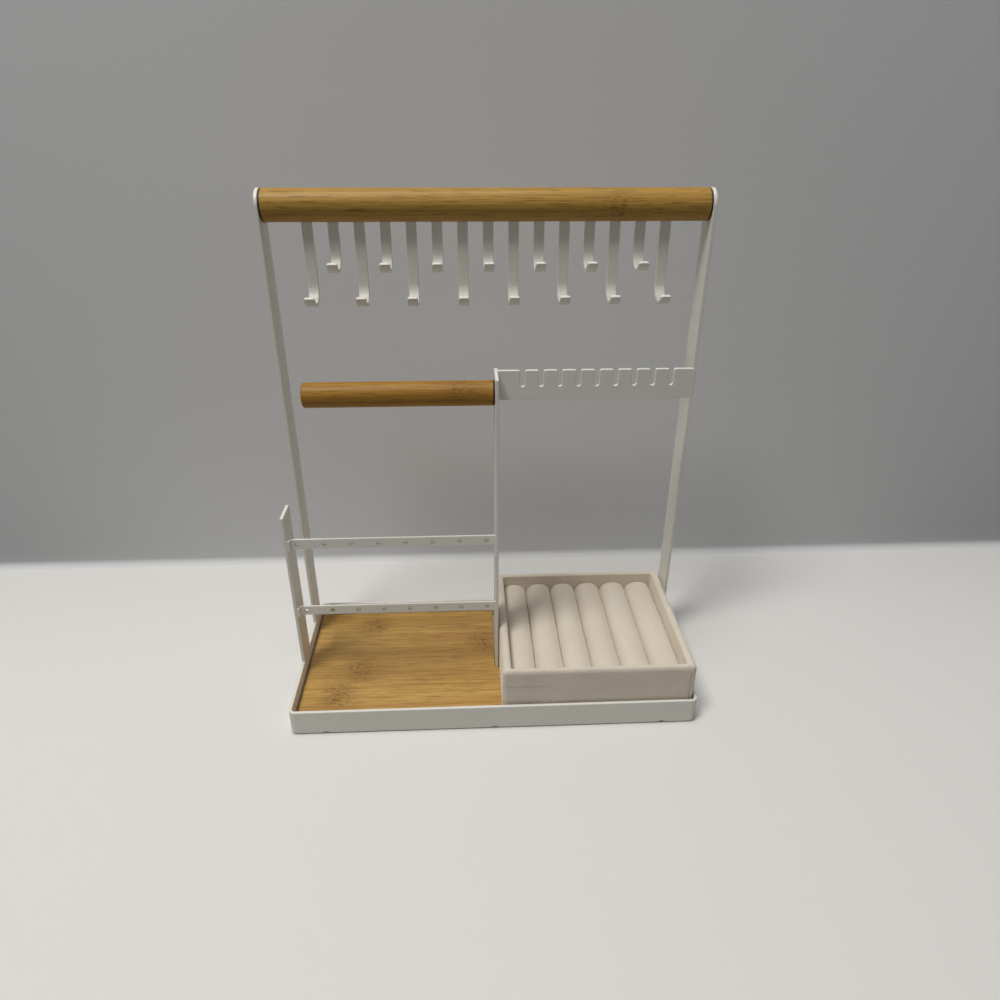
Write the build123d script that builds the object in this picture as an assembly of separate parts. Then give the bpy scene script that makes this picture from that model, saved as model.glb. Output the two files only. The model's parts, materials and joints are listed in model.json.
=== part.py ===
from build123d import *
import os

# Jewellery stand: a white sheet-steel tray with flat-bar posts, bamboo rods and a bamboo
# plate, and a velvet ring box that stands loose in the tray.
# Millimetres. +X is right, +Y is away from the viewer, +Z is up. The origin is on the
# table, under the middle of the tray.

# ---- tray ------------------------------------------------------------------
tray_length = 300.0
tray_depth = 135.0
wall_height = 20.0
sheet = 2.4
tray_corner_radius = 5.0
floor_sheet = 2.0
rim_edge_round = 0.7
pad_thickness = 2.0
pad_stands_out = 0.6
pad_diameter = 12.0
pad_inset = 16.0
edge_notch_width = 6.0
edge_notch_height = 1.6
edge_notch_inset = 26.0
edge_notch_count = 3

# ---- posts -----------------------------------------------------------------
stand_height = 360.0
bar_width = 21.0
uprights_from_back = 7.5
posts_from_front = 56.0
earring_post_top = 150.0
centre_post_top = 249.5
centre_post_width = 26.0
centre_post_x = 3.5
post_corner_radius = 1.0
bar_edge_round = 0.45
floor_slot_clearance = 0.1

# ---- top rod and its hooks ---------------------------------------------------
top_rod_diameter = 21.0
rod_edge_chamfer = 0.6
hook_count = 15
hook_from_rod_end = 27.9
hook_width = 7.0
hook_thickness = 2.4
hook_bend_radius = 12.0
hook_bend_angle = 156.0
hook_tip_radius = 1.5
hook_edge_round = 0.5
long_hook_drop = 63.1
short_hook_drop = 41.1
hook_tongue = 7.0
mortise_clearance = 0.1

# ---- short rod on the centre post ---------------------------------------------
short_rod_diameter = 17.0
short_rod_to_upright = 21.9
short_rod_below_top = 13.2
short_rod_tip_radius = 1.5

# ---- countersunk screws that hold the rods --------------------------------------
screw_length = 25.0
screw_shank = 3.5
screw_head = 7.0
screw_clearance = 0.08
cross_length = 3.6
cross_width = 0.8
cross_depth = 1.2

# ---- earring rails -----------------------------------------------------------
rail_height = 7.8
rail_thickness = 1.6
rail_set_back = 3.2
rail_bend_radius = 3.6
rail_edge_round = 0.3
upper_rail_z = 126.6
lower_rail_z = 67.7
rail_hole_count = 8
rail_hole_diameter = 3.0
rail_hole_from_end = 6.35

# ---- notched bar --------------------------------------------------------------
notch_bar_to_upright = 7.3
notch_bar_height = 21.0
notch_bar_thickness = 2.4
notch_bar_set_back = 19.5
notch_count = 9
notch_from_bar_end = 16.8
notch_width = 3.4
notch_depth = 11.5
notch_mouth_radius = 1.2
notch_bar_corner = 3.0

# ---- bamboo plate ---------------------------------------------------------------
plate_thickness = 6.5
plate_gap = 1.2
plate_corner_radius = 2.0
plate_edge_chamfer = 0.5
plate_slot_clearance = 0.45

# ---- ring box --------------------------------------------------------------------
box_height = 39.3
box_gap_to_post = 0.6
box_gap_to_side = 1.3
box_gap_to_ends = 1.3
box_side_wall = 6.6
box_end_wall = 5.0
box_corner_radius = 4.0
box_inner_corner_radius = 1.5
box_rim_radius = 2.4
velvet = 1.2
felt = 1.0
box_floor_board = 3.0
roll_count = 6
roll_height = 26.9
roll_crown = 7.5
roll_shoulder_radius = 3.0
roll_gap = 0.3
roll_end_radius = 1.2

# ---- places that follow from the sizes above -----------------------------------------
tray_bottom = pad_stands_out
rim = tray_bottom + wall_height
floor_under = pad_thickness
floor_top = floor_under + floor_sheet
inner_length = tray_length - 2 * sheet
inner_depth = tray_depth - 2 * sheet
side_bar_x = tray_length / 2 - sheet / 2

upright_y = tray_depth / 2 - uprights_from_back - bar_width / 2
top_rod_z = stand_height - bar_width / 2
posts_front_y = posts_from_front - tray_depth / 2
earring_post_y = posts_front_y + bar_width / 2
centre_post_y = posts_front_y + centre_post_width / 2
centre_post_left = centre_post_x - sheet / 2
centre_post_right = centre_post_x + sheet / 2

edge_notch_spacing = (tray_length - 2 * edge_notch_inset) / (edge_notch_count - 1)
hook_pitch = (inner_length - 2 * hook_from_rod_end) / (hook_count - 1)
short_rod_z = centre_post_top - short_rod_below_top
short_rod_length = inner_length / 2 + centre_post_left - short_rod_to_upright
rail_length = inner_length / 2 + centre_post_left
rail_hole_pitch = (rail_length - 2 * rail_hole_from_end) / (rail_hole_count - 1)
notch_bar_length = inner_length / 2 - centre_post_right - notch_bar_to_upright
notch_pitch = (notch_bar_length - 2 * notch_from_bar_end) / (notch_count - 1)

plate_top = floor_top + plate_thickness
box_left = centre_post_right + box_gap_to_post
box_length = inner_length / 2 - box_gap_to_side - box_left
box_depth = inner_depth - 2 * box_gap_to_ends
box_x = box_left + box_length / 2
box_floor_z = plate_top + felt + box_floor_board
box_top = plate_top + box_height
box_inside_length = box_length - 2 * box_side_wall
box_inside_depth = box_depth - 2 * box_end_wall
roll_pitch = box_inside_length / roll_count

# Two measures closer than this count as equal.
tolerance = 0.02


def block(x_range, y_range, z_range):
    """A rectangular block between two values on each axis."""
    size = [high - low for low, high in (x_range, y_range, z_range)]
    middle = [(high + low) / 2 for low, high in (x_range, y_range, z_range)]
    return Pos(*middle) * Box(*size)


def rounded_block(length, depth, z_range, radius):
    """A block about the Z axis with rounded upright corners."""
    low, high = z_range
    outline = RectangleRounded(length, depth, radius)
    return Pos(0, 0, low) * extrude(outline, high - low)


def save(node, shape):
    """Write one piece of the stand to its own file."""
    shape.label = node
    export_step(shape, f"parts/{node}.step")


# ---- tray ------------------------------------------------------------------
def edge_notches():
    """Arched drain notches in the bottom edge of the front and back walls."""
    half_width = edge_notch_width / 2
    radius = (half_width**2 + edge_notch_height**2) / (2 * edge_notch_height)
    cutter = Rot(90, 0, 0) * Cylinder(radius, tray_depth + sheet)
    first = -edge_notch_spacing * (edge_notch_count - 1) / 2
    cutters = []
    for index in range(edge_notch_count):
        x = first + index * edge_notch_spacing
        cutters.append(Pos(x, 0, tray_bottom + edge_notch_height - radius) * cutter)
    return cutters


def side_bar_slot(side, y):
    """The cut in a side wall that a flat bar's foot is let into."""
    x = side * side_bar_x
    return block(
        (x - sheet, x + sheet),
        (y - bar_width / 2, y + bar_width / 2),
        (floor_top, rim + sheet),
    )


def tray_wall():
    """The bent strip that makes the tray's four walls."""
    outside = rounded_block(tray_length, tray_depth, (tray_bottom, rim), tray_corner_radius)
    inside = rounded_block(
        inner_length, inner_depth, (tray_bottom, rim), tray_corner_radius - sheet
    )
    wall = outside - inside
    levels = wall.edges().group_by(Axis.Z)
    wall = fillet(levels[0] + levels[-1], rim_edge_round)
    for cutter in edge_notches():
        wall -= cutter
    wall -= side_bar_slot(-1, upright_y)
    wall -= side_bar_slot(1, upright_y)
    wall -= side_bar_slot(-1, earring_post_y)
    return wall


def centre_post_slot(z_range):
    """The narrow slot that the centre post's foot stands in."""
    gap = floor_slot_clearance
    return block(
        (centre_post_left - gap, centre_post_right + gap),
        (posts_front_y - gap, posts_front_y + centre_post_width + gap),
        z_range,
    )


def tray_floor():
    """The sheet that closes the tray under the bamboo plate."""
    sheet_blank = rounded_block(
        inner_length, inner_depth, (floor_under, floor_top), tray_corner_radius - sheet
    )
    return sheet_blank - centre_post_slot((floor_under - sheet, floor_top + sheet))


def foot_pads():
    """Four round rubber pads under the tray floor, one near each corner."""
    x = inner_length / 2 - pad_inset
    y = inner_depth / 2 - pad_inset
    places = {
        "front_left": (-x, -y),
        "front_right": (x, -y),
        "back_left": (-x, y),
        "back_right": (x, y),
    }
    pad = Pos(0, 0, pad_thickness / 2) * Cylinder(pad_diameter / 2, pad_thickness)
    return {place: Pos(*xy, 0) * pad for place, xy in places.items()}


# ---- screws ------------------------------------------------------------------
def screw_body(clearance=0.0):
    """A countersunk screw along +X, its flat head in the plane x = 0."""
    head = screw_head / 2 + clearance
    shank = screw_shank / 2 + clearance
    outline = Polyline(
        (0, 0),
        (0, head),
        (head - shank, shank),
        (screw_length + clearance, shank),
        (screw_length + clearance, 0),
        close=True,
    )
    return revolve(make_face(outline), Axis.X, 360)


def rod_screw():
    """The screw with its cross recess."""
    long_cut = block(
        (-cross_depth, cross_depth), (-cross_length / 2, cross_length / 2),
        (-cross_width / 2, cross_width / 2),
    )
    cross = long_cut + Rot(90, 0, 0) * long_cut
    return screw_body() - cross


def screw_places():
    """Each screw's place: head outside, shank into the rod's end."""
    right_end = Pos(tray_length / 2, upright_y, top_rod_z) * Rot(0, 0, 180)
    left_end = Pos(-tray_length / 2, upright_y, top_rod_z)
    short_rod_end = Pos(centre_post_right, centre_post_y, short_rod_z) * Rot(0, 0, 180)
    return [left_end, right_end, short_rod_end]


def without_screws(shape):
    """Cut every screw's hole out of a piece."""
    for place in screw_places():
        shape -= place * screw_body(screw_clearance)
    return shape


# ---- posts -------------------------------------------------------------------
def flat_bar(width, foot, top, top_radius):
    """An upright flat bar: square up to its foot's top, with softened edges above it."""
    foot_bottom, foot_top = foot
    outline = Pos(0, (foot_top + top) / 2) * Rectangle(width, top - foot_top)
    corners = outline.vertices().sort_by(Axis.Y)[-2:]
    outline = fillet(corners, top_radius)
    bar = extrude(Plane.YZ * outline, sheet / 2, both=True)
    side_faces = bar.faces().filter_by(Axis.X)
    soft_edges = side_faces.edges().filter_by(lambda edge: edge.center().Z > foot_top + tolerance)
    bar = fillet(soft_edges, bar_edge_round)
    return bar + block(
        (-sheet / 2, sheet / 2), (-width / 2, width / 2), (foot_bottom, foot_top)
    )


def upright(side):
    """A tall flat bar whose round top follows the rod that it carries."""
    top_radius = bar_width / 2 - tolerance
    bar = flat_bar(bar_width, (floor_top, rim), stand_height, top_radius)
    return without_screws(Pos(side * side_bar_x, upright_y, 0) * bar)


def earring_post():
    """The low post let into the tray's left wall."""
    bar = flat_bar(bar_width, (floor_top, rim), earring_post_top, post_corner_radius)
    return Pos(-side_bar_x, earring_post_y, 0) * bar


def centre_post():
    """The post that stands in the tray floor and carries both arms."""
    foot = (floor_under, floor_top)
    bar = flat_bar(centre_post_width, foot, centre_post_top, post_corner_radius)
    return without_screws(Pos(centre_post_x, centre_post_y, 0) * bar)


# ---- top rod, hooks and short rod -----------------------------------------------
def hook_kind(index):
    """Hooks alternate, starting and ending with a long one."""
    return "long" if index % 2 == 0 else "short"


def hook_x(index):
    """A hook's place along the rod, counted from the middle one."""
    return (index - (hook_count - 1) / 2) * hook_pitch


def top_rod():
    """The bamboo rod between the uprights, with a mortise for each hook."""
    rod = Rot(0, 90, 0) * Cylinder(top_rod_diameter / 2, inner_length)
    rod = chamfer(rod.edges().filter_by(GeomType.CIRCLE), rod_edge_chamfer)
    rod = Pos(0, upright_y, top_rod_z) * rod
    underside = top_rod_z - top_rod_diameter / 2
    half_width = hook_width / 2 + mortise_clearance
    half_thickness = hook_thickness / 2 + mortise_clearance
    for index in range(hook_count):
        x = hook_x(index)
        rod -= block(
            (x - half_width, x + half_width),
            (upright_y - half_thickness, upright_y + half_thickness),
            (underside - hook_thickness, underside + hook_tongue + mortise_clearance),
        )
    return without_screws(rod)


def hook(drop):
    """A flat strip bent forward into a round hook, its tongue in the rod."""
    half = hook_thickness / 2
    tongue_top = top_rod_z - top_rod_diameter / 2 + hook_tongue
    bend_z = top_rod_z - drop + hook_bend_radius
    middle = (half - hook_bend_radius, bend_z)
    outer = CenterArc(middle, hook_bend_radius, 0, -hook_bend_angle)
    inner = CenterArc(middle, hook_bend_radius - hook_thickness, 0, -hook_bend_angle)
    outline = [
        Line((half, tongue_top), outer @ 0),
        outer,
        Line(outer @ 1, inner @ 1),
        inner,
        Line(inner @ 0, (-half, tongue_top)),
        Line((-half, tongue_top), (half, tongue_top)),
    ]
    strip = extrude(Plane.YZ * make_face(Wire(outline)), hook_width / 2, both=True)
    tip_edges = strip.edges().filter_by(
        lambda edge: abs(edge.length - hook_thickness) < tolerance
        and edge.center().Z < bend_z
    )
    strip = fillet(tip_edges, hook_tip_radius)
    side_faces = strip.faces().filter_by(Axis.X)
    return fillet(side_faces.edges(), hook_edge_round)


def short_rod():
    """The short bamboo rod, free at its left end."""
    rod = Rot(0, 90, 0) * Cylinder(short_rod_diameter / 2, short_rod_length)
    ends = rod.edges().filter_by(GeomType.CIRCLE).sort_by(Axis.X)
    rod = fillet(ends[0], short_rod_tip_radius)
    right_edge = rod.edges().filter_by(GeomType.CIRCLE).sort_by(Axis.X)[-1]
    rod = chamfer(right_edge, rod_edge_chamfer)
    x = centre_post_left - short_rod_length / 2
    return without_screws(Pos(x, centre_post_y, short_rod_z) * rod)


# ---- earring rails and notched bar --------------------------------------------------
def earring_rail(z):
    """A punched strip from the centre post to the earring post, bent to lie on it."""
    left = -inner_length / 2
    right = centre_post_left
    front = posts_front_y + rail_set_back
    back = front + rail_thickness
    corner_in = rail_bend_radius - rail_thickness
    plan = make_face(
        Polyline(
            (left, posts_front_y),
            (left, back),
            (right, back),
            (right, front),
            (left + rail_thickness, front),
            (left + rail_thickness, posts_front_y),
            close=True,
        )
    )
    outer_corner = plan.vertices().sort_by_distance((left, back, 0))[0]
    plan = fillet(outer_corner, rail_bend_radius)
    inner_corner = plan.vertices().sort_by_distance((left + rail_thickness, front, 0))[0]
    plan = fillet(inner_corner, corner_in)
    rail = extrude(plan, rail_height / 2, both=True)
    long_edges = rail.faces().filter_by(Axis.Z).edges().filter_by(
        lambda edge: left + tolerance < edge.center().X < right - tolerance
    )
    rail = Pos(0, 0, z) * fillet(long_edges, rail_edge_round)
    middle = (left + right) / 2
    punch = Rot(90, 0, 0) * Cylinder(rail_hole_diameter / 2, 4 * rail_thickness)
    for index in range(rail_hole_count):
        x = middle + (index - (rail_hole_count - 1) / 2) * rail_hole_pitch
        rail -= Pos(x, front + rail_thickness / 2, z) * punch
    return rail


def notch_bar():
    """The arm to the right of the centre post, with U notches along its top edge."""
    outline = Rectangle(notch_bar_length, notch_bar_height)
    free_end = outline.vertices().sort_by(Axis.X)[-2:]
    outline = fillet(free_end, notch_bar_corner)
    top = notch_bar_height / 2
    bottom = top - notch_depth + notch_width / 2
    for index in range(notch_count):
        x = (index - (notch_count - 1) / 2) * notch_pitch
        slot = Pos(x, (top + bottom) / 2) * Rectangle(notch_width, top - bottom)
        outline -= slot + Pos(x, bottom) * Circle(notch_width / 2)
    mouths = outline.vertices().filter_by(
        lambda corner: abs(corner.Y - top) < tolerance
        and abs(corner.X) < notch_pitch * notch_count / 2
    )
    outline = fillet(mouths, notch_mouth_radius)
    bar = extrude(Plane.XZ * outline, notch_bar_thickness / 2, both=True)
    soft_edges = bar.faces().filter_by(Axis.Y).edges().filter_by(
        lambda edge: edge.center().X > tolerance - notch_bar_length / 2
    )
    bar = fillet(soft_edges, bar_edge_round)
    x = centre_post_right + notch_bar_length / 2
    y = posts_front_y + notch_bar_set_back + notch_bar_thickness / 2
    return Pos(x, y, centre_post_top - notch_bar_height / 2) * bar


# ---- bamboo plate ------------------------------------------------------------------
def bamboo_plate():
    """The loose plate in the tray, slotted from its back edge for the centre post."""
    length = inner_length - 2 * plate_gap
    depth = inner_depth - 2 * plate_gap
    plate = rounded_block(length, depth, (floor_top, plate_top), plate_corner_radius)
    rims = plate.edges().group_by(Axis.Z)
    plate = chamfer(rims[0] + rims[-1], plate_edge_chamfer)
    gap = plate_slot_clearance
    slot = block(
        (centre_post_left - gap, centre_post_right + gap),
        (posts_front_y - gap, depth),
        (0, plate_top + plate_thickness),
    )
    return plate - slot


# ---- ring box ----------------------------------------------------------------------
def box_frame():
    """The board inside the velvet: four walls on a floor board."""
    low = plate_top + felt
    high = box_top - velvet
    length = box_length - 2 * velvet
    depth = box_depth - 2 * velvet
    outside = rounded_block(length, depth, (low, high), box_corner_radius - velvet)
    inside = rounded_block(
        box_inside_length + 2 * velvet,
        box_inside_depth + 2 * velvet,
        (box_floor_z, high),
        box_inner_corner_radius,
    )
    return outside - inside


def box_cover(frame):
    """The velvet wrapped round the walls, outside, over the rim and inside."""
    outside = rounded_block(box_length, box_depth, (plate_top, box_top), box_corner_radius)
    inside = rounded_block(
        box_inside_length, box_inside_depth, (box_floor_z, box_top), box_inner_corner_radius
    )
    cover = outside - inside
    rim_edges = cover.edges().group_by(Axis.Z)[-1]
    cover = fillet(rim_edges, box_rim_radius)
    return cover - frame - base_felt()


def base_felt():
    """The felt sheet under the box."""
    return rounded_block(
        box_length - 2 * velvet,
        box_depth - 2 * velvet,
        (plate_top, plate_top + felt),
        box_corner_radius - velvet,
    )


def ring_roll():
    """A velvet roll with a rounded crown, from the front wall to the back wall."""
    half = (roll_pitch - roll_gap) / 2
    shoulder = roll_height - roll_crown
    outline = make_face(
        Wire(
            [
                Line((-half, 0), (half, 0)),
                Line((half, 0), (half, shoulder)),
                ThreePointArc((half, shoulder), (0, roll_height), (-half, shoulder)),
                Line((-half, shoulder), (-half, 0)),
            ]
        )
    )
    outline = fillet(outline.vertices().sort_by(Axis.Y)[-2:], roll_shoulder_radius)
    length = box_inside_depth - roll_gap
    roll = extrude(Plane.XZ * outline, length / 2, both=True)
    ends = roll.faces().sort_by(Axis.Y)
    end_edges = (ends[0].edges() + ends[-1].edges()).filter_by(
        lambda edge: edge.center().Z > tolerance
    )
    return fillet(end_edges, roll_end_radius)


def ring_box():
    """Every piece of the ring box, in its place on the plate."""
    frame = box_frame()
    pieces = {
        "ring_box_frame": frame,
        "ring_box_cover": box_cover(frame),
        "ring_box_base_felt": base_felt(),
    }
    roll = ring_roll()
    for index in range(roll_count):
        x = (index - (roll_count - 1) / 2) * roll_pitch
        pieces[f"ring_roll_{index + 1}"] = Pos(x, 0, box_floor_z) * roll
    return {node: Pos(box_x, 0, 0) * piece for node, piece in pieces.items()}


# ---- the stand -----------------------------------------------------------------------
def stand():
    """Every piece of the stand itself."""
    pieces = {
        "tray_wall": tray_wall(),
        "tray_floor": tray_floor(),
        "left_upright": upright(-1),
        "right_upright": upright(1),
        "earring_post": earring_post(),
        "centre_post": centre_post(),
        "top_rod": top_rod(),
        "short_rod": short_rod(),
        "upper_earring_rail": earring_rail(upper_rail_z),
        "lower_earring_rail": earring_rail(lower_rail_z),
        "notch_bar": notch_bar(),
        "bamboo_plate": bamboo_plate(),
    }
    for place, pad in foot_pads().items():
        pieces[f"foot_pad_{place}"] = pad
    hooks = {"long": hook(long_hook_drop), "short": hook(short_hook_drop)}
    for index in range(hook_count):
        kind = hook_kind(index)
        place = Pos(hook_x(index), upright_y, 0)
        pieces[f"hook_{index + 1:02d}_{kind}"] = place * hooks[kind]
    pieces["rod_screws"] = Compound(children=[place * rod_screw() for place in screw_places()])
    return pieces


os.makedirs("parts", exist_ok=True)
for node, piece in {**stand(), **ring_box()}.items():
    save(node, piece)
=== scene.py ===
import json
import math

import bpy
from mathutils import Matrix, Vector, noise


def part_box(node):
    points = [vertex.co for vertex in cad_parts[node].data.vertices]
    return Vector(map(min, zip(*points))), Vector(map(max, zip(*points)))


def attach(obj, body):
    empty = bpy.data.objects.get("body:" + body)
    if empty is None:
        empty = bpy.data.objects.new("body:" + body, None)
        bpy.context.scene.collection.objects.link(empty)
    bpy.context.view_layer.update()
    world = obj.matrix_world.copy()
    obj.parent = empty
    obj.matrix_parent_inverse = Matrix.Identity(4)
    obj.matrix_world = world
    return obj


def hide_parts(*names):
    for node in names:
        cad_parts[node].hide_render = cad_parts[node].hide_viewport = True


# Jewellery stand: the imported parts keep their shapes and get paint, bamboo and rubber.
# The ring box's velvet cover, its rolls and its felt are modelled here as fabric.
# Metres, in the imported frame: +X right, +Y back, +Z up, the table at z = 0.

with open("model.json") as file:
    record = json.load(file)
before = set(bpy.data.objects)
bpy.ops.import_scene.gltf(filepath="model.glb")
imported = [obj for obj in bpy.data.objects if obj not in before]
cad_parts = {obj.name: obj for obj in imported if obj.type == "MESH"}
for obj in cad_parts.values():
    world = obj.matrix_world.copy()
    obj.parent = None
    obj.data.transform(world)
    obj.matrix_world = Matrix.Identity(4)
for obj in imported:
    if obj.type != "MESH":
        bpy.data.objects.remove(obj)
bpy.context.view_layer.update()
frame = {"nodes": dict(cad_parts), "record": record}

MM = 0.001

# ---- camera ---------------------------------------------------------------------
CAMERA_PLACE = (-0.0166, -0.4673, 0.4024)
CAMERA_PITCH = math.radians(-27.84)
CAMERA_YAW = math.radians(2.78)
CAMERA_ROLL = math.radians(0.18)
CAMERA_LENS = 26.32
CAMERA_SENSOR = 36.0


def make_camera():
    """The photograph's viewpoint."""
    forward = Vector((
        math.sin(CAMERA_YAW) * math.cos(CAMERA_PITCH),
        math.cos(CAMERA_YAW) * math.cos(CAMERA_PITCH),
        math.sin(CAMERA_PITCH),
    ))
    level_right = Vector((math.cos(CAMERA_YAW), -math.sin(CAMERA_YAW), 0.0))
    level_up = level_right.cross(forward)
    right = math.cos(CAMERA_ROLL) * level_right + math.sin(CAMERA_ROLL) * level_up
    up = math.cos(CAMERA_ROLL) * level_up - math.sin(CAMERA_ROLL) * level_right
    data = bpy.data.cameras.new("camera")
    data.lens = CAMERA_LENS
    data.sensor_width = CAMERA_SENSOR
    data.clip_start = 0.01
    data.clip_end = 50.0
    camera = bpy.data.objects.new("camera", data)
    bpy.context.scene.collection.objects.link(camera)
    turn = Matrix((right, up, -forward)).transposed().to_4x4()
    camera.matrix_world = Matrix.Translation(CAMERA_PLACE) @ turn
    bpy.context.scene.camera = camera


# ---- materials ----------------------------------------------------------------------
class Shader:
    """A procedural material, put together from short calls."""

    def __init__(self, name):
        self.material = bpy.data.materials.new(name)
        self.material.use_nodes = True
        self.tree = self.material.node_tree
        self.surface = self.tree.nodes["Principled BSDF"]
        self.place = self.add("ShaderNodeTexCoord").outputs["Object"]

    def add(self, kind, **settings):
        node = self.tree.nodes.new(kind)
        for key, value in settings.items():
            setattr(node, key, value)
        return node

    def put(self, socket, value):
        """Link a socket to another's value, or set it to a constant."""
        if isinstance(value, bpy.types.NodeSocket):
            self.tree.links.new(value, socket)
        else:
            socket.default_value = value

    def set(self, **values):
        """Set the surface shader's sockets, with _ for a space."""
        for key, value in values.items():
            self.put(self.surface.inputs[key.replace("_", " ")], value)

    def math(self, operation, *values):
        node = self.add("ShaderNodeMath", operation=operation)
        for socket, value in zip(node.inputs, values):
            self.put(socket, value)
        return node.outputs[0]

    def axes(self):
        node = self.add("ShaderNodeSeparateXYZ")
        self.put(node.inputs[0], self.place)
        return node.outputs

    def vector(self, x, y, z):
        node = self.add("ShaderNodeCombineXYZ")
        for socket, value in zip(node.inputs, (x, y, z)):
            self.put(socket, value)
        return node.outputs[0]

    def noise(self, scale, detail=2.0, roughness=0.5, distortion=0.0, vector=None):
        """Noise with a scale per axis, in features per metre."""
        mapping = self.add("ShaderNodeMapping")
        self.put(mapping.inputs["Vector"], self.place if vector is None else vector)
        mapping.inputs["Scale"].default_value = scale
        node = self.add("ShaderNodeTexNoise")
        self.put(node.inputs["Vector"], mapping.outputs[0])
        self.put(node.inputs["Scale"], 1.0)
        self.put(node.inputs["Detail"], detail)
        self.put(node.inputs["Roughness"], roughness)
        self.put(node.inputs["Distortion"], distortion)
        return node.outputs[0]

    def spread(self, value, low, high, to_low=0.0, to_high=1.0):
        """Stretch a range of values to another, with soft ends."""
        node = self.add("ShaderNodeMapRange", interpolation_type="SMOOTHSTEP")
        for key, number in (
            ("Value", value), ("From Min", low), ("From Max", high),
            ("To Min", to_low), ("To Max", to_high),
        ):
            self.put(node.inputs[key], number)
        return node.outputs[0]

    def mix(self, factor, first, second):
        node = self.add("ShaderNodeMix", data_type="RGBA", blend_type="MIX")
        self.put(node.inputs[0], factor)
        for socket, value in ((node.inputs[6], first), (node.inputs[7], second)):
            self.put(socket, (*value, 1.0) if isinstance(value, tuple) else value)
        return node.outputs[2]

    def bump(self, height, distance, strength=1.0, under=None):
        node = self.add("ShaderNodeBump")
        self.put(node.inputs["Height"], height)
        self.put(node.inputs["Distance"], distance)
        self.put(node.inputs["Strength"], strength)
        if under is not None:
            self.put(node.inputs["Normal"], under)
        return node.outputs[0]


PAINT_TONES = ((0.765, 0.75, 0.685), (0.82, 0.805, 0.745))
PAINT_SPECK = (0.55, 0.53, 0.47)
PAINT_PEEL = 0.00006
PAINT_GRIT = 0.00002
# The rails' punched holes, in and round which shade is painted: the first one's place along X,
# their pitch and each rail's height.
HOLE_START = -0.00405
HOLE_PITCH = 0.0196
HOLE_INSIDE = 0.0015
HOLE_RING = 0.0021
RAIL_HEIGHTS = {"upper_earring_rail": 0.1266, "lower_earring_rail": 0.0677}
HOLE_PAINTED_SHADE = (0.34, 0.33, 0.29)


def powder_coat(name, rail_z=None):
    """Satin warm-white powder coat with its fine orange peel.

    On a rail, whose height is rail_z, shade is painted in and round the punched holes.
    """
    shader = Shader(name)
    cloud = shader.noise((14.0, 14.0, 14.0), 3.0)
    colour = shader.mix(cloud, *PAINT_TONES)
    speck = shader.spread(shader.noise((1900.0,) * 3, 1.0), 0.74, 0.80)
    colour = shader.mix(shader.math("MULTIPLY", speck, 0.25), colour, PAINT_SPECK)
    if rail_z is not None:
        # Painted shade: the coat is darkened in and just round each punched hole, where the
        # hole's inside lies in shade.
        x, _, z = shader.axes()
        step = shader.math("DIVIDE", shader.math("SUBTRACT", x, HOLE_START), HOLE_PITCH)
        aside = shader.math("FRACT", shader.math("ADD", step, 0.5))
        aside = shader.math("MULTIPLY", shader.math("SUBTRACT", aside, 0.5), HOLE_PITCH)
        above = shader.math("SUBTRACT", z, rail_z)
        total = shader.math(
            "ADD", shader.math("MULTIPLY", aside, aside), shader.math("MULTIPLY", above, above)
        )
        ring = shader.spread(shader.math("SQRT", total), HOLE_RING, HOLE_INSIDE)
        colour = shader.mix(shader.math("MULTIPLY", ring, 0.65), colour, HOLE_PAINTED_SHADE)
    patch = shader.noise((90.0, 90.0, 90.0), 2.0)
    peel = shader.noise((760.0, 760.0, 760.0), 1.5)
    grit = shader.noise((3400.0, 3400.0, 3400.0), 1.0)
    relief = shader.bump(peel, PAINT_PEEL, 0.8)
    shader.set(
        Base_Color=colour,
        Roughness=shader.spread(patch, 0.2, 0.8, 0.36, 0.48),
        IOR=1.5,
        Normal=shader.bump(grit, PAINT_GRIT, 0.8, relief),
    )
    return shader.material


# Where the bamboo's joints show, as middle, half-length along the grain and half-width.
PLATE_JOINTS = (
    ((-0.0985, 0.0470), 0.0110, 0.0125),
    ((-0.1040, -0.0100), 0.0120, 0.0150),
    ((-0.1195, -0.0400), 0.0120, 0.0160),
    ((-0.0080, 0.0190), 0.0110, 0.0130),
    ((0.0560, -0.0500), 0.0120, 0.0120),
)
ROD_JOINTS = (
    ((0.0855, 0.0400, 0.3480), 0.0085, 0.0100),
    ((-0.0200, -0.0050, 0.2420), 0.0100, 0.0085),
    ((-0.0600, 0.0560, 0.3560), 0.0085, 0.0100),
    ((-0.0900, 0.0080, 0.2330), 0.0100, 0.0085),
)
# The plate's glued strips: their width, and its back edge, where the first begins.
PLATE_STRIP = 0.0219
PLATE_BACK = 0.0639
# Where the rods butt on their posts, and how far the painted shade at each joint reaches.
TOP_ROD_ENDS = (-0.1476, 0.1476)
SHORT_ROD_END = (0.0023,)
END_SHADE_REACH = 0.0011
# Lightest, middle and dark wood, and the fibres' colour.
TOP_ROD_BAMBOO = (
    (0.50, 0.305, 0.068), (0.385, 0.212, 0.040), (0.265, 0.133, 0.023), (0.13, 0.055, 0.010),
)
SHORT_ROD_BAMBOO = (
    (0.415, 0.218, 0.036), (0.32, 0.153, 0.022), (0.215, 0.093, 0.012), (0.13, 0.055, 0.010),
)
PLATE_BAMBOO = (
    (0.66, 0.410, 0.118), (0.52, 0.305, 0.078), (0.30, 0.158, 0.033), (0.135, 0.062, 0.014),
)
BAMBOO_STREAK = (0.40, 0.155, 0.045)
BAMBOO_END_SHADE = (0.035, 0.018, 0.007)
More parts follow.
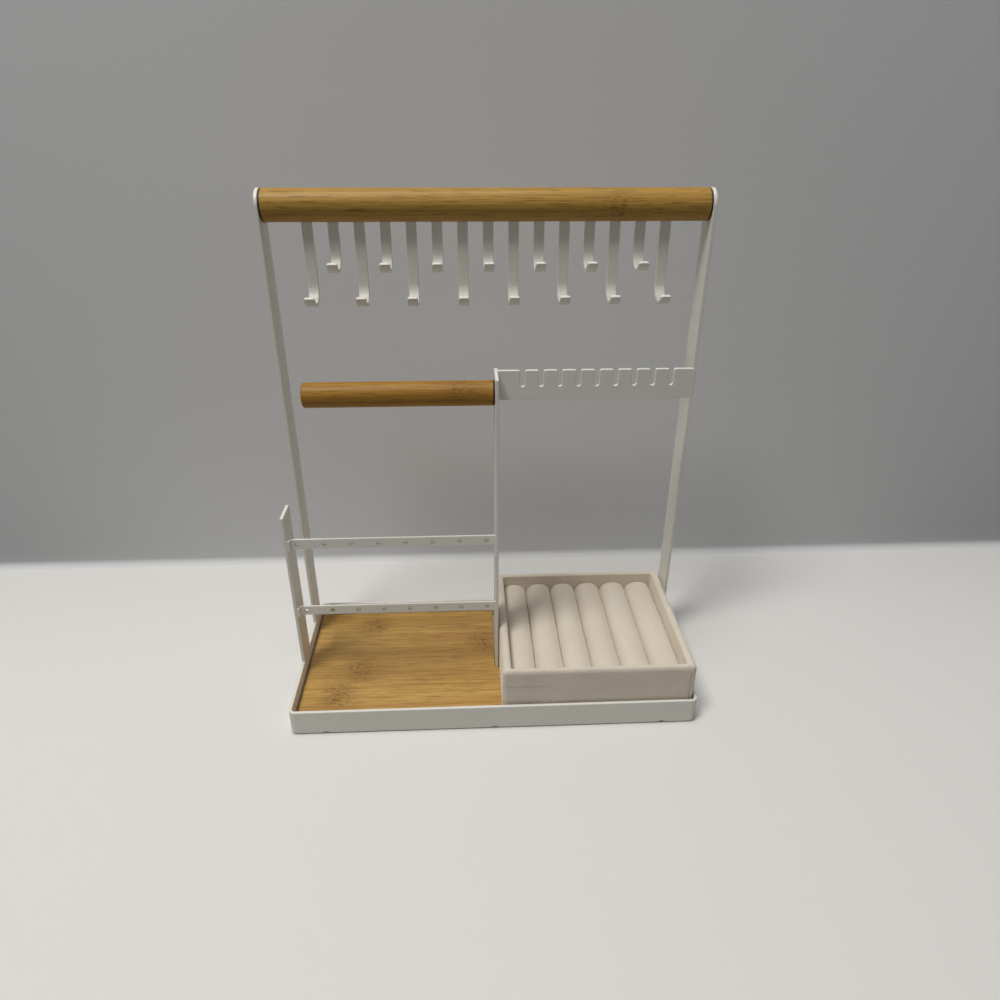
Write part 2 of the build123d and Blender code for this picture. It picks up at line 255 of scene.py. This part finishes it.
# band and hair are features per metre across the grain; the rest are shares from 0 to 1.
PLATE_GRAIN = {
    "band": 210.0, "band_range": (0.30, 0.70), "hair": 1700.0, "hair_depth": 0.78,
    "streaks": 0.35, "joint_depth": 0.58, "gloss": 0.40, "specular": 0.5, "coat": 0.16,
}
ROD_GRAIN = {
    "band": 700.0, "band_range": (0.20, 0.80), "hair": 1800.0, "hair_depth": 0.32,
    "streaks": 0.15, "joint_depth": 0.16, "gloss": 0.42, "specular": 0.2, "coat": 0.03,
}


def near(shader, middle, along, across):
    """1 at a bamboo joint, falling away round it."""
    here = shader.axes()
    total = None
    reach = (along,) + (across,) * (len(middle) - 1)
    for axis, (centre, radius) in enumerate(zip(middle, reach)):
        offset = shader.math("SUBTRACT", here[axis], centre)
        scaled = shader.math("DIVIDE", offset, radius)
        square = shader.math("MULTIPLY", scaled, scaled)
        total = square if total is None else shader.math("ADD", total, square)
    return shader.math("EXPONENT", shader.math("MULTIPLY", total, -1.0))


def bamboo(name, joints, tones, grain, strip=None, ends=()):
    """Varnished bamboo with its fibres along X; strips, where given, lie side by side.

    ends are the places along X where a rod butts on a post: shade is painted in a thin band at
    the joint.
    """
    shader = Shader(name)
    light, middle, dark, fibre = tones
    x, y, z = shader.axes()
    joint = None
    for place in joints:
        one = near(shader, *place)
        joint = one if joint is None else shader.math("MAXIMUM", joint, one)
    wave = shader.noise((60.0, 240.0, 240.0), 2.0)
    sway = shader.math("MULTIPLY", shader.math("SUBTRACT", wave, 0.5), 0.004)
    sway = shader.math("MULTIPLY", sway, joint)
    across = shader.math("ADD", y, sway)
    along = x
    if strip:
        lane = shader.math("DIVIDE", shader.math("ADD", y, PLATE_BACK), strip)
        number = shader.math("FLOOR", lane)
        chance = shader.add("ShaderNodeTexWhiteNoise", noise_dimensions="1D")
        shader.put(chance.inputs["W"], number)
        tone = chance.outputs[0]
        along = shader.math("ADD", x, shader.math("MULTIPLY", tone, 3.0))
        edge = shader.math("ABSOLUTE", shader.math("SUBTRACT", shader.math("FRACT", lane), 0.5))
        edge = shader.spread(edge, 0.485, 0.5)
    place = shader.vector(along, across, z)
    band, hair = grain["band"], grain["hair"]
    broad = shader.noise((5.0, band, band), 2.0, vector=place)
    fine = shader.noise((22.0, hair, hair), 3.0, 0.65, vector=place)
    thread = shader.noise((55.0, 1900.0, 1900.0), 1.0, vector=place)
    colour = shader.mix(shader.spread(broad, *grain["band_range"]), middle, light)
    depth = grain["hair_depth"]
    colour = shader.mix(shader.spread(fine, 0.44, 0.66, 0.0, depth), colour, dark)
    line = shader.math("MULTIPLY", shader.spread(thread, 0.57, 0.66), 0.62)
    colour = shader.mix(line, colour, fibre)
    if strip:
        colour = shader.mix(shader.math("MULTIPLY", tone, 0.30), colour, dark)
        colour = shader.mix(shader.math("MULTIPLY", edge, 0.45), colour, fibre)
    streak = shader.noise((3.0, 0.6 * band, 0.6 * band), 1.0, vector=place)
    warm = shader.math("MULTIPLY", shader.spread(streak, 0.60, 0.74), grain["streaks"])
    colour = shader.mix(warm, colour, BAMBOO_STREAK)
    dash = shader.noise((300.0, 1100.0, 1100.0), 2.0, vector=place)
    mark = shader.math("MULTIPLY", shader.spread(dash, 0.50, 0.60), joint)
    colour = shader.mix(shader.math("MULTIPLY", joint, grain["joint_depth"]), colour, dark)
    colour = shader.mix(shader.math("MULTIPLY", mark, 0.80), colour, fibre)
    # Painted shade: a dark band at each rod end where it butts on a post and the joint lies in
    # shade.
    for end in ends:
        inside = END_SHADE_REACH if end < 0.0 else -END_SHADE_REACH
        painted_end_shade = shader.spread(x, end + 1.6 * inside, end + 0.9 * inside)
        colour = shader.mix(shader.math("MULTIPLY", painted_end_shade, 0.95), colour, BAMBOO_END_SHADE)
    relief = shader.math("ADD", fine, shader.math("MULTIPLY", mark, 0.8))
    shader.set(
        Base_Color=colour,
        Roughness=shader.spread(fine, 0.3, 0.7, grain["gloss"], grain["gloss"] + 0.12),
        IOR=1.5,
        Normal=shader.bump(relief, 0.00005, 0.7),
        Specular_IOR_Level=grain["specular"],
        Coat_Weight=grain["coat"],
        Coat_Roughness=0.30,
    )
    return shader.material


VELVET_TONES = ((0.75, 0.675, 0.565), (0.80, 0.725, 0.61))
VELVET_PILE = (0.57, 0.495, 0.40)
VELVET_LIGHT_SPECK = (0.86, 0.81, 0.73)
VELVET_DARK_SPECK = (0.47, 0.41, 0.34)
VELVET_SHEEN = (1.0, 0.93, 0.82, 1.0)


def velvet(name, dusty):
    """Short-pile beige velvet: soft sheen, brushed patches and fine pile.

    dusty, from 0 to 1, is how clearly its light and dark specks show.
    """
    shader = Shader(name)
    brushed = shader.noise((34.0, 18.0, 34.0), 2.0, 0.5, 0.6)
    pile = shader.noise((1500.0, 1500.0, 1500.0), 3.0, 0.7)
    fluff = shader.noise((420.0, 420.0, 420.0), 2.0)
    colour = shader.mix(shader.spread(brushed, 0.3, 0.7), *VELVET_TONES)
    colour = shader.mix(shader.spread(pile, 0.30, 0.75, 0.0, 0.45), colour, VELVET_PILE)
    speck = shader.noise((760.0, 760.0, 760.0), 1.0)
    dust = shader.math("MULTIPLY", shader.spread(speck, 0.66, 0.74), 0.55 * dusty)
    colour = shader.mix(dust, colour, VELVET_LIGHT_SPECK)
    shade = shader.math("MULTIPLY", shader.spread(speck, 0.34, 0.26), 0.40 * dusty)
    colour = shader.mix(shade, colour, VELVET_DARK_SPECK)
    relief = shader.bump(fluff, 0.0002, 0.5)
    shader.set(
        Base_Color=colour,
        Roughness=0.92,
        IOR=1.35,
        Sheen_Weight=0.55,
        Sheen_Roughness=0.45,
        Sheen_Tint=VELVET_SHEEN,
        Normal=shader.bump(pile, 0.00030, 0.75, relief),
    )
    return shader.material


FELT_TONES = ((0.34, 0.28, 0.21), (0.52, 0.45, 0.35))
FELT_FLECK = (0.60, 0.54, 0.45)


def felt():
    """Thin pressed felt: matted fibres with flecks."""
    shader = Shader("brown_felt")
    mat = shader.noise((900.0, 900.0, 900.0), 4.0, 0.7, 2.0)
    fleck = shader.spread(shader.noise((260.0, 700.0, 500.0), 2.0, 0.6, 3.0), 0.56, 0.66)
    colour = shader.mix(mat, *FELT_TONES)
    colour = shader.mix(shader.math("MULTIPLY", fleck, 0.4), colour, FELT_FLECK)
    shader.set(
        Base_Color=colour, Roughness=0.97, IOR=1.3, Sheen_Weight=0.2,
        Normal=shader.bump(mat, 0.0004, 0.8),
    )
    return shader.material


BOARD_TONES = ((0.30, 0.20, 0.12), (0.50, 0.37, 0.24))
BOARD_LAYER = (0.24, 0.16, 0.09)


def board():
    """Bare fibre board, pressed from coarse brown pulp."""
    shader = Shader("fibre_board")
    pulp = shader.noise((700.0, 700.0, 300.0), 4.0, 0.7)
    layer = shader.noise((20.0, 20.0, 1400.0), 2.0)
    colour = shader.mix(pulp, *BOARD_TONES)
    colour = shader.mix(shader.math("MULTIPLY", layer, 0.4), colour, BOARD_LAYER)
    shader.set(
        Base_Color=colour, Roughness=0.85, Normal=shader.bump(pulp, 0.0001, 0.6)
    )
    return shader.material


RUBBER_TONES = ((0.50, 0.49, 0.46), (0.62, 0.61, 0.57))


def pad_rubber():
    """Pale matt rubber with a fine moulded skin."""
    shader = Shader("pale_rubber")
    cloud = shader.noise((120.0, 120.0, 120.0), 2.0)
    skin = shader.noise((2200.0, 2200.0, 2200.0), 2.0)
    colour = shader.mix(cloud, *RUBBER_TONES)
    shader.set(
        Base_Color=colour,
        Roughness=shader.spread(cloud, 0.2, 0.8, 0.62, 0.74),
        Normal=shader.bump(skin, 0.00003, 0.6),
    )
    return shader.material


def dress_nodes():
    """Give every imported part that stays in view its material."""
    paint = powder_coat("white_powder_coat")
    looks = {
        "white_paint": paint,
        "screw_steel": paint,
        "board": board(),
        "pad_rubber": pad_rubber(),
        "velvet": velvet("beige_velvet_cover", 0.70),
        "roll_velvet": velvet("beige_velvet_rolls", 0.15),
        "felt": felt(),
    }
    own = {
        "bamboo_plate": bamboo(
            "bamboo_plate", PLATE_JOINTS, PLATE_BAMBOO, PLATE_GRAIN, strip=PLATE_STRIP
        ),
        "top_rod": bamboo(
            "bamboo_top_rod", ROD_JOINTS, TOP_ROD_BAMBOO, ROD_GRAIN, ends=TOP_ROD_ENDS
        ),
        "short_rod": bamboo(
            "bamboo_short_rod", ROD_JOINTS, SHORT_ROD_BAMBOO, ROD_GRAIN, ends=SHORT_ROD_END
        ),
    }
    # Each rail gets its own coat, with painted shade in its holes.
    for name, height in RAIL_HEIGHTS.items():
        own[name] = powder_coat("paint_with_hole_shade_" + name, height)
    slots = {row["node"]: row["material_slot"] for row in frame["record"]["subparts"]}
    for name, piece in frame["nodes"].items():
        look = own[name] if name in own else looks[slots[name]]
        if not piece.material_slots:
            piece.data.materials.append(look)
        for place in piece.material_slots:
            place.material = look
    return looks


# ---- ring box ---------------------------------------------------------------------------
def make_piece(name, points, faces, look, body):
    """A smooth-shaded mesh that rides on a body."""
    mesh = bpy.data.meshes.new(name)
    mesh.from_pydata(points, [], faces)
    mesh.validate()
    mesh.shade_smooth()
    mesh.materials.append(look)
    piece = bpy.data.objects.new(name, mesh)
    bpy.context.scene.collection.objects.link(piece)
    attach(piece, body)
    return piece


def smooth_step(value, low, high):
    share = min(1.0, max(0.0, (value - low) / (high - low)))
    return share * share * (3.0 - 2.0 * share)


def wobble(point, per_metre, seed):
    """A smooth random value from -1 to 1 that is the same in every run."""
    return noise.noise(Vector(point) * per_metre + Vector((seed, seed * 1.7, seed * 0.3)))


def rounded_path(half_x, half_y, radius, side_steps, corner_steps):
    """Points round a rectangle with rounded corners, from the middle of the right side."""
    points = []
    corners = ((1, 1, 0), (-1, 1, 90), (-1, -1, 180), (1, -1, 270))
    for sign_x, sign_y, start in corners:
        centre = ((half_x - radius) * sign_x, (half_y - radius) * sign_y)
        for step in range(corner_steps + 1):
            angle = math.radians(start + 90.0 * step / corner_steps)
            points.append((
                centre[0] + radius * math.cos(angle), centre[1] + radius * math.sin(angle)
            ))
        following = corners[(corners.index((sign_x, sign_y, start)) + 1) % 4]
        goal = (
            (half_x - radius) * following[0] + radius * math.cos(math.radians(start + 90.0)),
            (half_y - radius) * following[1] + radius * math.sin(math.radians(start + 90.0)),
        )
        last = points[-1]
        for step in range(1, side_steps):
            share = step / side_steps
            points.append((
                last[0] + (goal[0] - last[0]) * share, last[1] + (goal[1] - last[1]) * share
            ))
    return points


# The velvet-covered box: its walls, corners and rim.
SIDE_WALL = 6.6 * MM
END_WALL = 5.0 * MM
OUTER_RADIUS = 3.2 * MM
INNER_RADIUS = 1.5 * MM
FULLNESS = 0.6 * MM
VELVET = 1.2 * MM
RIM_ROUND = 4.0 * MM
INNER_RIM_ROUND = 1.6 * MM
RIM_POWER = 2.15
DENT_DEPTH = 0.20 * MM
# The overlap on the front face, at its left end.
SEAM_Z = 35.8 * MM
SEAM_WAVE = 0.25 * MM
SEAM_END_X = 44.0 * MM
SEAM_FADE = 14.0 * MM
SEAM_STEP = 0.45 * MM
SEAM_SOFT = 0.18 * MM
# The flap that ends near the front right corner.
FLAP_X = 144.9 * MM
FLAP_WAVE = 0.35 * MM
FLAP_SOFT = 0.25 * MM
FLAP_STEP = 0.75 * MM
FLAP_TOP_Z = 45.0 * MM
FLAP_TOP_FADE = 3.0 * MM
FLAP_REACH = 2.0 * MM
FLAP_FULL = 0.6 * MM
FACE_DEPTH = 2.0 * MM
# How finely the cover is divided.
SIDE_STEPS = 84
CORNER_STEPS = 24
WALL_STEPS = 34
RIM_STEPS = 26


def cover_mesh(low, high, floor_z):
    """Velvet round the box: up the outside, over a soft rim and down the inside."""
    middle = (low + high) / 2
    half_x = (high.x - low.x) / 2
    half_y = (high.y - low.y) / 2
    outer = rounded_path(half_x, half_y, OUTER_RADIUS, SIDE_STEPS, CORNER_STEPS)
    inner = rounded_path(
        half_x - SIDE_WALL, half_y - END_WALL, INNER_RADIUS, SIDE_STEPS, CORNER_STEPS
    )

    profile = []
    wall_top = high.z - RIM_ROUND
    levels = [low.z + (wall_top - low.z) * step / WALL_STEPS for step in range(WALL_STEPS)]
    levels = [z for z in levels if abs(z - SEAM_Z) > 5 * SEAM_SOFT]
    levels += [SEAM_Z + SEAM_SOFT * step for step in range(-4, 5)]
    for z in sorted(levels):
        profile.append((0.0, z, "outside"))
    for step in range(RIM_STEPS + 1):
        angle = math.pi * step / RIM_STEPS
        swing = abs(math.cos(angle)) ** (2 / RIM_POWER)
        across = 0.5 - 0.5 * math.copysign(swing, math.cos(angle))
        rise = abs(math.sin(angle)) ** (2 / RIM_POWER)
        side = RIM_ROUND if across < 0.5 else INNER_RIM_ROUND
        profile.append((across, high.z - side + side * rise, "rim"))
    for step in range(1, WALL_STEPS):
        share = step / WALL_STEPS
        top = high.z - INNER_RIM_ROUND
        profile.append((1.0, top + (floor_z - top) * share, "inside"))
    board_top = high.z - VELVET
    profile.append((1.0, floor_z, "edge"))
    profile.append((1.0 - VELVET / SIDE_WALL, floor_z, "board"))
    profile.append((1.0 - VELVET / SIDE_WALL, board_top, "board"))
    profile.append((VELVET / SIDE_WALL, board_top, "board"))
    profile.append((VELVET / SIDE_WALL, low.z, "board"))

    points = []
    count = len(outer)
    for (ox, oy), (ix, iy) in zip(outer, inner):
        toward = Vector((ix - ox, iy - oy, 0.0))
        inward = toward.normalized()
        for across, z, part in profile:
            point = Vector((middle.x + ox, middle.y + oy, z)) + toward * across
            if part in ("outside", "rim", "inside"):
                dent = 0.5 + 0.5 * wobble(point, 34.0, 3.1)
                dent += 0.30 * (0.5 + 0.5 * wobble(point, 130.0, 8.4))
                depth = DENT_DEPTH * dent
                if part == "outside":
                    point += inward * depth
                elif part == "inside":
                    point -= inward * depth
                else:
                    point.z -= depth
                    point += inward * depth * (1.0 - 2.0 * across)
                if part == "outside" and point.y < low.y + FACE_DEPTH:
                    reach = 1.0 - smooth_step(point.x, SEAM_END_X - SEAM_FADE, SEAM_END_X)
                    line = SEAM_Z + SEAM_WAVE * wobble((point.x, 0.0, 0.0), 60.0, 6.0)
                    step_in = 1.0 - smooth_step(point.z, line - SEAM_SOFT, line + SEAM_SOFT)
                    point += inward * SEAM_STEP * reach * step_in
                near_flap = point.x > FLAP_X - FLAP_REACH and point.y < middle.y
                if part == "outside" and near_flap:
                    edge = FLAP_X + FLAP_WAVE * wobble((0.0, 0.0, point.z), 90.0, 2.0)
                    before = 1.0 - smooth_step(point.x, edge - FLAP_SOFT, edge + FLAP_SOFT)
                    fade_z = FLAP_TOP_Z - FLAP_TOP_FADE
                    below = 1.0 - smooth_step(point.z, fade_z, FLAP_TOP_Z)
                    grown = smooth_step(point.x, FLAP_X - FLAP_REACH, FLAP_X - FLAP_FULL)
                    point += inward * FLAP_STEP * before * below * grown
            points.append(point)
    size = len(profile)
    faces = []
    for column in range(count):
        following = (column + 1) % count
        for row in range(size):
            after = (row + 1) % size
            faces.append((
                column * size + row, following * size + row,
                following * size + after, column * size + after,
            ))
    return points, faces


ROLL_SHAPE_POWER = 2.25
ROLL_CROWN = 10.2 * MM
ROLL_SOFT_END = 4.0 * MM
ROLL_DROP = 0.35 * MM
ROLL_LIFT = 0.25 * MM
ROLL_LEAN = 0.25 * MM
ROLL_CREASE = 0.10 * MM
ROLL_INSET = 0.12 * MM
ROLL_PINCH = 0.20 * MM
ROLL_FOOT_TAPER = 0.03
ROLL_ROWS = 96
ROLL_TOP_STEPS = 40
ROLL_WALL_STEPS = 8
# Where the rolls meet the walls and each other, from left to right.
ROLL_EDGES = tuple(x * MM for x in (10.8, 31.6, 52.9, 74.0, 95.7, 117.8, 140.2))


def roll_mesh(low, high, seed):
    """A foam rod in a velvet sleeve, pressed between its neighbours."""
    middle_x = (low.x + high.x) / 2
    half = (high.x - low.x) / 2
    points = []
    for row in range(ROLL_ROWS + 1):
        share = row / ROLL_ROWS
        eased = 0.5 - 0.5 * math.cos(math.pi * share)
        y = low.y + (high.y - low.y) * (0.35 * eased + 0.65 * share)
        end = min(y - low.y, high.y - y)
        pinch = 1.0 - smooth_step(end, 0.0, ROLL_SOFT_END)
        drop = ROLL_DROP * pinch * pinch
        lift = ROLL_LIFT * (1.0 + wobble((seed, y, 0.0), 24.0, seed)) / 2
        lean = ROLL_LEAN * wobble((seed, y, 9.0), 30.0, seed + 4.0)
        width = half - ROLL_INSET - ROLL_PINCH * pinch
        crest = high.z - drop - lift
        shoulder = crest - ROLL_CROWN
        ring = []
        for step in range(ROLL_WALL_STEPS):
            z = low.z + (shoulder - low.z) * step / ROLL_WALL_STEPS
            taper = 1.0 - ROLL_FOOT_TAPER + ROLL_FOOT_TAPER * step / ROLL_WALL_STEPS
            ring.append((width * taper, z))
        for step in range(ROLL_TOP_STEPS + 1):
            angle = math.pi * step / ROLL_TOP_STEPS
            power = 2.0 / ROLL_SHAPE_POWER
            across = math.copysign(abs(math.cos(angle)) ** power, math.cos(angle))
            rise = abs(math.sin(angle)) ** power
            ring.append((width * across, shoulder + ROLL_CROWN * rise))
        for step in range(ROLL_WALL_STEPS):
            share = (step + 1) / ROLL_WALL_STEPS
            z = shoulder + (low.z - shoulder) * share
            ring.append((-width * (1.0 - ROLL_FOOT_TAPER * share), z))
        for across, z in ring:
            bulge = max(0.0, (z - shoulder) / ROLL_CROWN)
            x = middle_x + across + lean * bulge
            crease = wobble((x * 3.0, y, z), 160.0, seed + 2.0)
            z -= ROLL_CREASE * (0.5 + 0.5 * crease) * bulge
            points.append((x, y, z))
    size = 2 * ROLL_WALL_STEPS + ROLL_TOP_STEPS + 1
    faces = []
    for row in range(ROLL_ROWS):
        for step in range(size):
            after = (step + 1) % size
            faces.append((
                row * size + step, row * size + after,
                (row + 1) * size + after, (row + 1) * size + step,
            ))
    faces.append(tuple(range(size - 1, -1, -1)))
    faces.append(tuple(ROLL_ROWS * size + step for step in range(size)))
    return points, faces


FELT_RAGGED = 0.25 * MM
FELT_ROUND = 0.25 * MM
FELT_ROUND_Z = 0.2 * MM


def slab_mesh(low, high, radius):
    """A thin sheet with a slightly uneven cut edge."""
    half_x = (high.x - low.x) / 2
    half_y = (high.y - low.y) / 2
    middle = (low + high) / 2
    outline = rounded_path(half_x, half_y, radius, 60, 6)
    rings = []
    for level, shrink in ((low.z, FELT_ROUND), (low.z + FELT_ROUND_Z, 0.0), (high.z, 0.0)):
        ring = []
        for x, y in outline:
            cut = FELT_RAGGED * (0.5 + 0.5 * wobble((x, y, 0.0), 300.0, 5.0)) + shrink
            length = math.hypot(x, y)
            ring.append((
                middle.x + x * (1.0 - cut / length), middle.y + y * (1.0 - cut / length), level
            ))
        rings.append(ring)
    points = [point for ring in rings for point in ring]
    size = len(outline)
    faces = []
    for level in range(len(rings) - 1):
        for step in range(size):
            after = (step + 1) % size
            faces.append((
                level * size + step, level * size + after,
                (level + 1) * size + after, (level + 1) * size + step,
            ))
    faces.append(tuple(range(size - 1, -1, -1)))
    faces.append(tuple((len(rings) - 1) * size + step for step in range(size)))
    return points, faces


def make_ring_box(looks):
    """Cover, rolls and felt in place of their plain solids."""
    low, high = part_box("ring_box_cover")
    high.x += FULLNESS
    floor_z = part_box("ring_roll_1")[0].z
    points, faces = cover_mesh(low, high, floor_z)
    cover = make_piece("velvet_cover", points, faces, looks["velvet"], "ring_box")
    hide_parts("ring_box_cover")
    for number in range(1, 7):
        node = f"ring_roll_{number}"
        low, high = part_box(node)
        low.x, high.x = ROLL_EDGES[number - 1], ROLL_EDGES[number]
        points, faces = roll_mesh(low, high, seed=float(number))
        roll = make_piece(
            f"velvet_roll_{number}", points, faces, looks["roll_velvet"], "ring_box"
        )
        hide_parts(node)
    low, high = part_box("ring_box_base_felt")
    points, faces = slab_mesh(low, high, OUTER_RADIUS - VELVET)
    sheet = make_piece("felt_sheet", points, faces, looks["felt"], "ring_box")
    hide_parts("ring_box_base_felt")


# ---- stage ------------------------------------------------------------------------------
FLOOR_HALF = 3.0
WALL_Y = 0.17
WALL_HEIGHT = 1.3
WALL_HALF = 2.6
WALL_CURVE = 0.006
WALL_CURVE_STEPS = 24
WALL_LIFT = 0.0005
WALL_GREY = (0.705, 0.71, 0.722, 1.0)
FLOOR_SEEN = (0.78, 0.77, 0.75)
FLOOR_NEAR = (0.54, 0.53, 0.51)
FLOOR_FAR = (0.12, 0.118, 0.115)
NEAR_REACH = 0.22
FAR_REACH = 0.60


def floor_material():
    """Pale to the eye; the light it throws back comes mostly from close to the stand."""
    shader = Shader("floor_white")
    eye = shader.add("ShaderNodeLightPath").outputs["Is Camera Ray"]
    x, y = shader.axes()[:2]
    apart = shader.math(
        "SQRT", shader.math("ADD", shader.math("MULTIPLY", x, x), shader.math("MULTIPLY", y, y))
    )
    away = shader.spread(apart, NEAR_REACH, FAR_REACH)
    bounce = shader.mix(away, FLOOR_NEAR, FLOOR_FAR)
    shader.set(
        Base_Color=shader.mix(eye, bounce, FLOOR_SEEN),
        Roughness=0.6,
        Specular_IOR_Level=0.2,
    )
    return shader.material


def wall_material():
    """Matt grey in front; its back lets the view from behind through."""
    shader = Shader("wall_grey")
    shader.set(Base_Color=WALL_GREY, Roughness=0.7, Specular_IOR_Level=0.2)
    behind = shader.add("ShaderNodeNewGeometry").outputs["Backfacing"]
    through = shader.add("ShaderNodeBsdfTransparent").outputs[0]
    choice = shader.add("ShaderNodeMixShader")
    shader.put(choice.inputs[0], behind)
    shader.tree.links.new(shader.surface.outputs[0], choice.inputs[1])
    shader.tree.links.new(through, choice.inputs[2])
    output = shader.tree.nodes["Material Output"]
    shader.tree.links.new(choice.outputs[0], output.inputs["Surface"])
    return shader.material


def stage_mesh(name, points, faces, look):
    mesh = bpy.data.meshes.new(name)
    mesh.from_pydata(points, [], faces)
    mesh.shade_smooth()
    mesh.materials.append(look)
    piece = bpy.data.objects.new(name, mesh)
    bpy.context.scene.collection.objects.link(piece)


def make_stage():
    """A pale table and, behind the stand, a grey wall."""
    side = FLOOR_HALF
    stage_mesh(
        "floor",
        [(-side, -side, 0.0), (side, -side, 0.0), (side, side, 0.0), (-side, side, 0.0)],
        [(0, 1, 2, 3)],
        floor_material(),
    )
    outline = []
    for step in range(WALL_CURVE_STEPS + 1):
        angle = math.pi / 2 * step / WALL_CURVE_STEPS
        outline.append((
            WALL_Y - WALL_CURVE + WALL_CURVE * math.sin(angle),
            WALL_CURVE - WALL_CURVE * math.cos(angle) + WALL_LIFT,
        ))
    outline.append((WALL_Y, WALL_HEIGHT))
    points = [(x, y, z) for y, z in outline for x in (-WALL_HALF, WALL_HALF)]
    faces = [
        (2 * step, 2 * step + 1, 2 * step + 3, 2 * step + 2) for step in range(len(outline) - 1)
    ]
    stage_mesh("wall", points, faces, wall_material())


WORLD_LIGHT = 0.07
WORLD_TINT = (0.96, 0.98, 1.0, 1.0)
WORLD_SEEN = (0.86, 0.86, 0.865, 1.0)
WARM_LAMP = (1.0, 0.985, 0.955)
COOL_LAMP = (0.95, 0.975, 1.0)
# Each lamp's name, place, aim, width, power and colour.
LAMPS = (
    ("key", (-0.80, -0.60, 2.45), (0.0, 0.0, 0.1), 0.75, 34.0, WARM_LAMP),
    ("top", (-0.10, 0.10, 2.45), (0.0, 0.05, 0.1), 0.55, 14.5, WARM_LAMP),
    ("fill", (0.9, -1.5, 0.9), (0.0, 0.0, 0.15), 1.2, 0.8, COOL_LAMP),
)


def make_light():
    """Soft lamps high on the left and above, with a weak fill and an even surround."""
    world = bpy.data.worlds.new("studio")
    bpy.context.scene.world = world
    world.use_nodes = True
    tree = world.node_tree
    tree.nodes.clear()
    rays = tree.nodes.new("ShaderNodeLightPath")
    seen = rays.outputs["Is Camera Ray"]
    for kind in ("Is Glossy Ray", "Is Transmission Ray"):
        either = tree.nodes.new("ShaderNodeMath")
        either.operation = "MAXIMUM"
        tree.links.new(seen, either.inputs[0])
        tree.links.new(rays.outputs[kind], either.inputs[1])
        seen = either.outputs[0]
    light = tree.nodes.new("ShaderNodeBackground")
    light.inputs["Color"].default_value = WORLD_TINT
    light.inputs["Strength"].default_value = WORLD_LIGHT
    shown = tree.nodes.new("ShaderNodeBackground")
    shown.inputs["Color"].default_value = WORLD_SEEN
    shown.inputs["Strength"].default_value = 1.0
    choice = tree.nodes.new("ShaderNodeMixShader")
    output = tree.nodes.new("ShaderNodeOutputWorld")
    tree.links.new(seen, choice.inputs[0])
    tree.links.new(light.outputs[0], choice.inputs[1])
    tree.links.new(shown.outputs[0], choice.inputs[2])
    tree.links.new(choice.outputs[0], output.inputs[0])

    for name, place, aim, size, power, colour in LAMPS:
        data = bpy.data.lights.new(name, "AREA")
        data.shape = "DISK"
        data.size = size
        data.energy = power
        data.color = colour
        lamp = bpy.data.objects.new(name, data)
        bpy.context.scene.collection.objects.link(lamp)
        lamp.location = place
        lamp.rotation_euler = (Vector(aim) - Vector(place)).to_track_quat("-Z", "Y").to_euler()


make_camera()
make_stage()
make_light()
make_ring_box(dress_nodes())

bpy.context.scene.view_settings.view_transform = "Standard"
